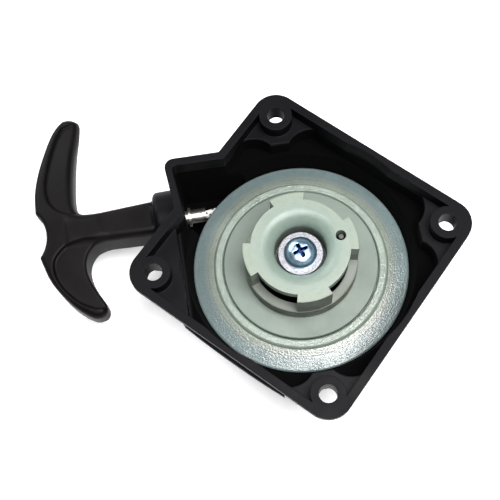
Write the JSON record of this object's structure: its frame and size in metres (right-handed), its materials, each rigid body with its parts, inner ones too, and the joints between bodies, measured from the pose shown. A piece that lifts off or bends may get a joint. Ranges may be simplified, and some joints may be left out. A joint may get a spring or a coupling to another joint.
{
  "type": "recoil starter",
  "caption": "Pull-rope recoil starter for a small engine: square flanged housing, sprung rope reel, drive cam and swept tee handle.",
  "frame": {"origin": "centre of the four mounting holes, on the mounting face", "axes": "+Z out of the open side towards the engine, along the crankshaft; the rope is pulled along -X; the four holes lie on the X and Y axes"},
  "size_m": [0.1385, 0.1227, 0.0428],
  "materials": {
    "housing_nylon": "satin glass-filled nylon",
    "handle_plastic": "satin",
    "reel_nylon": "natural nylon, slightly translucent",
    "rope": "braided, with dark tracer yarns",
    "guide_steel": "bright",
    "spring_steel": "blued strip",
    "spring_wire": "oil-blackened wire",
    "zinc_washer": "bright zinc",
    "blue_zinc_screw": "blue passivated zinc",
    "brass": "machined"
  },
  "bodies": {
    "housing": {"housing": "housing_nylon", "post_insert": "brass", "rope_guide": "guide_steel", "rewind_spring": "spring_steel", "rope_lead": "rope", "retaining_washer": "zinc_washer", "retaining_screw": "blue_zinc_screw"},
    "handle": {"handle": "handle_plastic", "rope_run": "rope", "knot_washer": "zinc_washer", "handle_knot": "rope"},
    "reel": {"reel": "reel_nylon", "rope_coil": "rope", "reel_knot": "rope"},
    "cam": {"drive_cam": "reel_nylon", "assist_spring": "spring_wire"}
  },
  "joints": [
    {"name": "handle_pull", "type": "slide", "parent": "housing", "child": "handle", "axis": [-1, 0, 0], "range_m": [0, 0.75], "stiffness_N_per_m": 8, "springref_m": -0.5},
    {"name": "reel_spin", "type": "hinge", "parent": "housing", "child": "reel", "pos_m": [0, 0, 0], "axis": [0, 0, 1], "range_deg": [0, 1800]},
    {"name": "cam_wind", "type": "hinge", "parent": "reel", "child": "cam", "pos_m": [0, 0, 0], "axis": [0, 0, 1], "range_deg": [-170, 0], "stiffness_Nm_per_rad": 0.25}
  ],
  "couplings": [
    {"joint": "reel_spin", "follows": "handle_pull", "rad_per_m": 41.667}
  ]
}
